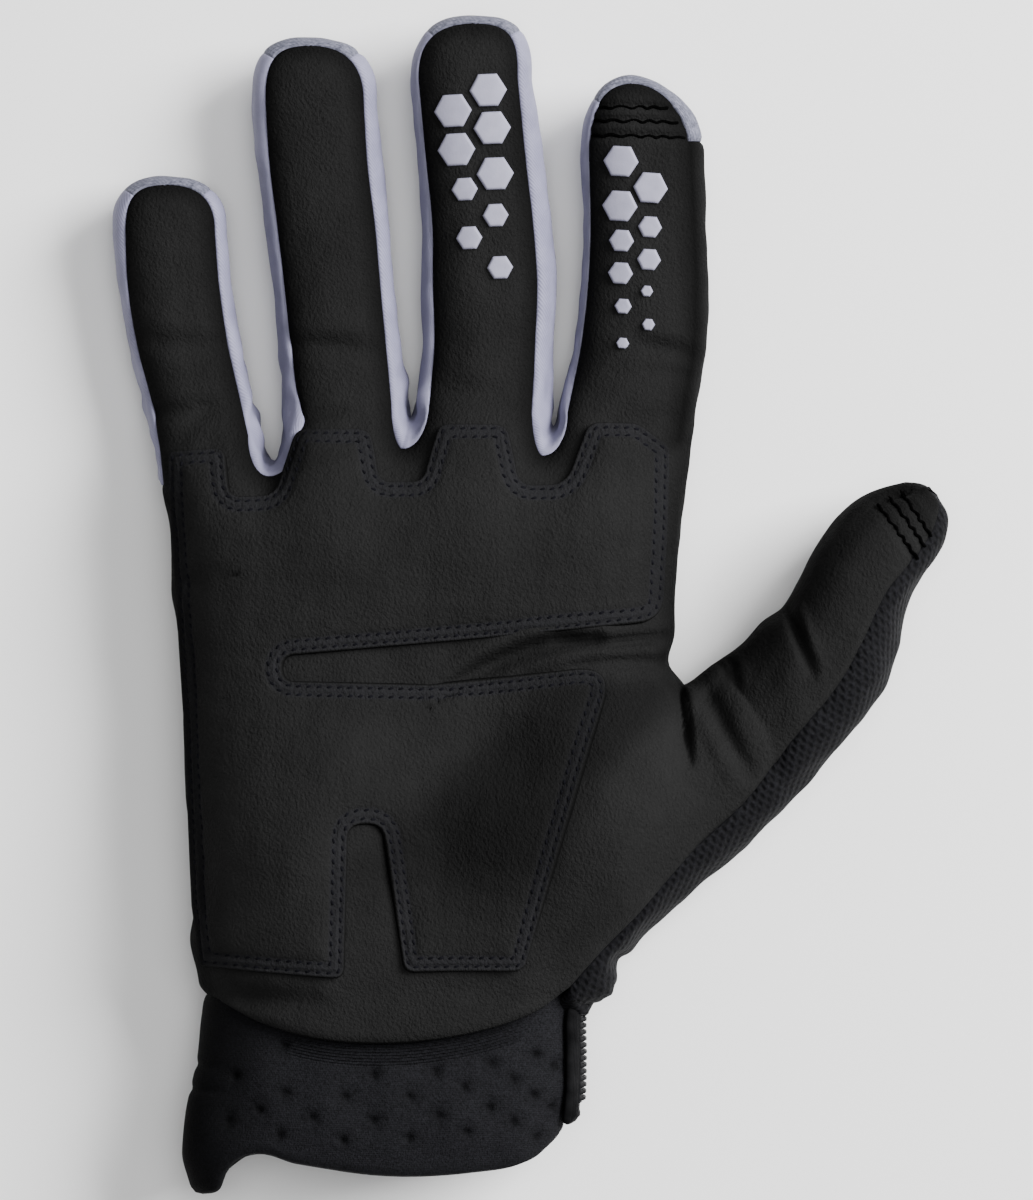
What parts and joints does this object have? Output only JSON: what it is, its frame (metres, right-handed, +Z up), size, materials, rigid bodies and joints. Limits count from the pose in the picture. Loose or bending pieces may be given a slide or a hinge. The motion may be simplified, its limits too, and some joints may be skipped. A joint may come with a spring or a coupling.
{
  "type": "motocross glove",
  "caption": "Full-finger off-road riding glove for the right hand, palm up: suede palm with a stitched pad, stretch side strips, hexagon grips, mesh back and a strapped cuff.",
  "frame": {"origin": "on the surface that the glove lies on, under the middle of its length and width", "axes": "+Z up out of the palm, +Y from the cuff to the fingertips, +X to the thumb side"},
  "size_m": [0.1672, 0.2353, 0.0374],
  "materials": {
    "suede": "matte synthetic suede, charcoal black",
    "pad_suede": "matte pebbled synthetic suede, charcoal black",
    "air_mesh": "dimpled air mesh, blue black",
    "heather_knit": "heather knit, lavender grey",
    "stretch_gusset": "smooth stretch knit, lavender grey",
    "grip_rubber": "satin silicone print, lavender grey",
    "neoprene": "perforated jersey-faced neoprene, blue black",
    "strap_webbing": "smooth bonded strap, dark grey",
    "rib_rubber": "ribbed moulded rubber, black"
  },
  "bodies": {
    "root": {"palm_panel": "suede", "palm_pad": "pad_suede", "hand_back": "air_mesh", "pinky_back": "heather_knit", "ring_back": "heather_knit", "middle_back": "heather_knit", "index_back": "heather_knit", "gusset_pinky_outer": "stretch_gusset", "gusset_pinky_ring": "stretch_gusset", "gusset_ring_middle": "stretch_gusset", "gusset_middle_index": "stretch_gusset", "middle_grip_1": "grip_rubber", "middle_grip_2": "grip_rubber", "middle_grip_3": "grip_rubber", "middle_grip_4": "grip_rubber", "middle_grip_5": "grip_rubber", "middle_grip_6": "grip_rubber", "middle_grip_7": "grip_rubber", "middle_grip_8": "grip_rubber", "middle_grip_9": "grip_rubber", "index_grip_1": "grip_rubber", "index_grip_2": "grip_rubber", "index_grip_3": "grip_rubber", "index_grip_4": "grip_rubber", "index_grip_5": "grip_rubber", "index_grip_6": "grip_rubber", "index_grip_7": "grip_rubber", "index_grip_8": "grip_rubber", "index_grip_9": "grip_rubber", "index_grip_10": "grip_rubber", "index_grip_11": "grip_rubber", "cuff": "neoprene", "closure_strap": "strap_webbing", "strap_grip": "rib_rubber"}
  },
  "joints": []
}
